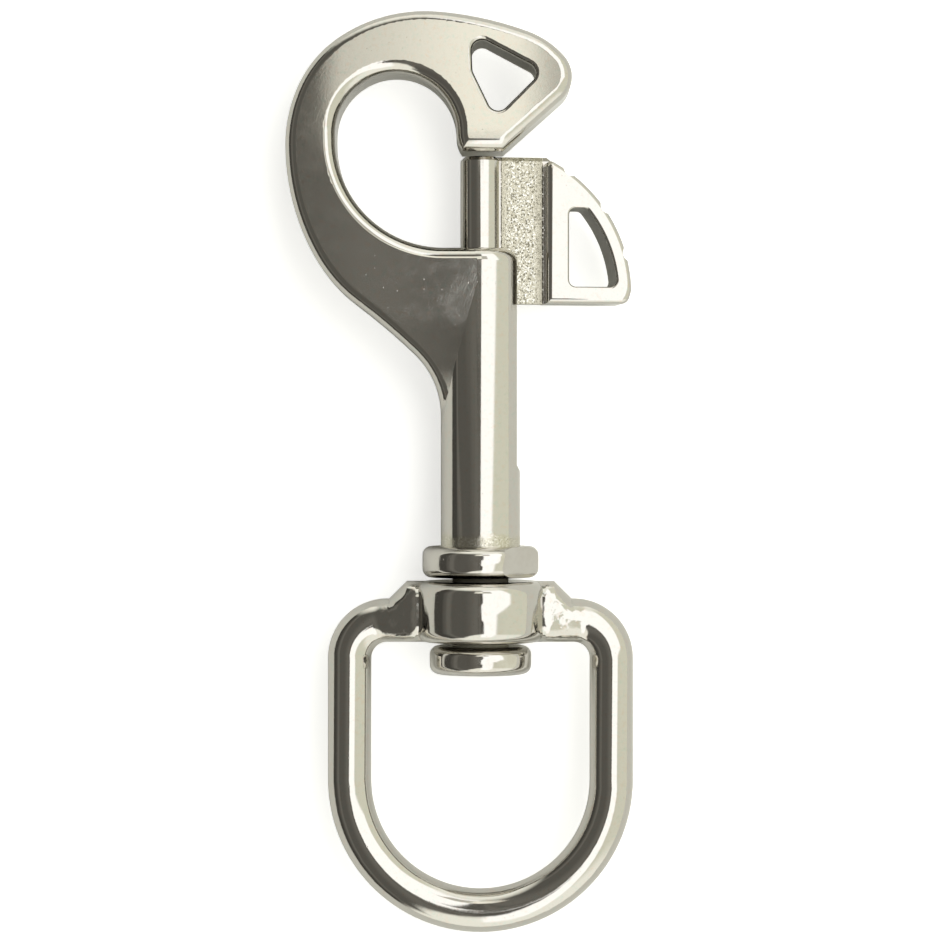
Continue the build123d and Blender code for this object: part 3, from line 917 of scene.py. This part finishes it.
def screen_shade(tree, across):
    """How bright the screen is: lighter overhead, with a dark strip, a thin lit gap and a darker far side."""
    shade = ease(tree, across, -30.0, -6.0, 1.0, 1.5)
    shade = product(tree, shade, ease(tree, across, -5.0, -3.4, 1.0, 0.7))
    shade = maths(tree, "MULTIPLY_ADD", between(tree, across, -2.5, -1.0, 0.7), 0.75, shade)
    shade = product(tree, shade, ease(tree, across, -1.0, -0.2, 1.0, 0.9))
    shade = product(tree, shade, ease(tree, across, -74.0, -68.0, 0.6, 1.0))
    return maths(tree, "MULTIPLY_ADD", between(tree, across, -64.0, -54.0, 3.0), 0.45, shade)


def make_surroundings(studio):
    """Pale walls, a white panel to the upper right and a dark screen overhead and to the left.

    Angles are in degrees: across turns from straight up towards +X, along rises from there towards +Y.
    The camera itself sees plain white.
    """
    world = bpy.data.worlds.new("studio")
    bpy.context.scene.world = world
    world.use_nodes = True
    tree = world.node_tree
    tree.nodes.clear()
    x, y, z = parts_of(tree, put(tree, "ShaderNodeTexCoord").outputs["Generated"])
    across = product(tree, maths(tree, "ARCTAN2", x, z), 180 / pi)
    along = product(tree, maths(tree, "ARCSINE", y), 180 / pi)
    left_to_right = ease(tree, across, -30.0, 50.0)
    past_the_ends = maths(tree, "SUBTRACT", 1.0, between(tree, along, -33.0, 62.0, 9.0))
    dark = put(tree, "ShaderNodeVectorMath",
               {0: tuple(studio.screen_colour), "Scale": screen_shade(tree, across)}, operation="SCALE")
    colour = blend_colours(tree, left_to_right, (*studio.left_colour, 1), (*studio.right_colour, 1))
    colour = blend_colours(tree, past_the_ends, colour, (*studio.end_colour, 1))
    colour = blend_colours(tree, panel_share(tree, across, along), colour, (*studio.panel_colour, 1))
    colour = blend_colours(tree, screen_share(tree, across, along), colour, dark.outputs[0])
    camera_ray = put(tree, "ShaderNodeLightPath").outputs["Is Camera Ray"]
    colour = blend_colours(tree, camera_ray, colour, (1, 1, 1, 1))
    background = put(tree, "ShaderNodeBackground", {"Color": colour, "Strength": 1.0})
    out = tree.nodes.new("ShaderNodeOutputWorld")
    join(tree, background.outputs[0], out.inputs["Surface"])


def make_card(studio):
    """A cream card above the hook's nose, seen only in the metal and fading out at its edges.

    It stands near, so that the hook's face mirrors it while the eye, further off, doesn't.
    """
    x, y = AXIS_X + studio.camera_aim[0], BARREL_FOOT + studio.camera_aim[1]
    left, right = x + CARD_LEFT, x + CARD_RIGHT
    foot, top = y + CARD_FOOT, y + CARD_TOP
    height = AXIS_Z + CARD_HEIGHT
    corners = np.array([(left, foot, height), (left, top, height),
                        (right, top, height), (right, foot, height)])
    material, tree = empty_material("cream_card")
    across, along, _ = parts_of(tree, put(tree, "ShaderNodeTexCoord").outputs["Object"])
    shade = product(tree, ease(tree, across, x - 22 * MM, x + 4 * MM, 0.76, 1.15),
                    ease(tree, across, x + 8 * MM, x + 15 * MM, 1.0, 0.5))
    glow = put(tree, "ShaderNodeEmission", {"Color": (*studio.card_colour, 1), "Strength": shade}).outputs[0]
    clear = put(tree, "ShaderNodeBsdfTransparent").outputs[0]
    solid = product(tree, between(tree, across, left + 5.2 * MM, right - 5 * MM, 1.6 * MM),
                    between(tree, along, foot + 6 * MM, top - 6 * MM, 3 * MM))
    blend_shaders(tree, solid, clear, glow)
    card = mesh_piece("cream_card", corners, [(0, 1, 2, 3)], material, smooth=False)
    card.visible_camera = False
    card.visible_diffuse = False
    card.visible_shadow = False


def make_lamp(name, place, size, power):
    """A large square lamp aimed at the object, left out of mirror reflections."""
    data = bpy.data.lights.new(name, "AREA")
    data.shape = "SQUARE"
    data.size = size
    data.energy = power
    lamp = bpy.data.objects.new(name, data)
    lamp.location = place
    lamp.rotation_euler = (-Vector(place)).to_track_quat("-Z", "Y").to_euler()
    lamp.visible_glossy = False
    bpy.context.scene.collection.objects.link(lamp)


def make_camera(studio):
    """A camera above the snap that looks straight down."""
    data = bpy.data.cameras.new("camera")
    data.sensor_width = 36.0
    data.lens = studio.camera_lens
    data.clip_start = 0.01
    data.clip_end = 10.0
    camera = bpy.data.objects.new("camera", data)
    aim_x, aim_y = studio.camera_aim
    camera.location = (AXIS_X + aim_x, BARREL_FOOT + aim_y, AXIS_Z + studio.camera_height)
    bpy.context.scene.collection.objects.link(camera)
    bpy.context.scene.camera = camera


class SNAP_OT_stage(bpy.types.Operator):
    """Set up the floor, the soft light and the camera that looks straight down"""

    bl_idname = "snap.stage"
    bl_label = "Stage"

    def execute(self, context):
        studio = context.scene.snap_studio
        context.scene.view_settings.view_transform = "Standard"
        make_floor(studio.floor_colour, studio.floor_glow)
        make_surroundings(studio)
        make_card(studio)
        make_lamp("soft_lamp", place=(0.25, 0.15, 0.6), size=0.35, power=studio.lamp_power)
        make_camera(studio)
        return {"FINISHED"}


class SNAP_PT_panel(bpy.types.Panel):
    """Lists the pieces of the bolt snap and their settings"""

    bl_idname = "SNAP_PT_panel"
    bl_label = "Bolt snap"
    bl_space_type = "VIEW_3D"
    bl_region_type = "UI"
    bl_category = "Bolt snap"

    def draw(self, context):
        for operator in OPERATORS:
            self.layout.operator(operator.bl_idname)
        for name in SETTINGS:
            settings = getattr(context.scene, name)
            box = self.layout.box()
            for key in settings.bl_rna.properties.keys():
                if key not in ("rna_type", "name"):
                    box.prop(settings, key)


OPERATORS = (SNAP_OT_stage, SNAP_OT_cast_hook, SNAP_OT_plunger, SNAP_OT_return_spring, SNAP_OT_turned_parts,
             SNAP_OT_swivel_eye)
SETTINGS = {"snap_studio": StudioSettings, "snap_metal": MetalSettings, "snap_spring": SpringSettings}


def register():
    """Adds the settings, the operators and the panel."""
    for group in (*SETTINGS.values(), *OPERATORS, SNAP_PT_panel):
        bpy.utils.register_class(group)
    for name, group in SETTINGS.items():
        setattr(bpy.types.Scene, name, bpy.props.PointerProperty(type=group))


def unregister():
    """Takes them away again."""
    for name in SETTINGS:
        delattr(bpy.types.Scene, name)
    for group in reversed((*SETTINGS.values(), *OPERATORS, SNAP_PT_panel)):
        bpy.utils.unregister_class(group)


def main():
    register()
    make_shared_effects()
    bpy.ops.snap.stage()
    bpy.ops.snap.cast_hook()
    bpy.ops.snap.plunger()
    bpy.ops.snap.return_spring()
    bpy.ops.snap.turned_parts()
    bpy.ops.snap.swivel_eye()


if __name__ == "__main__":
    main()
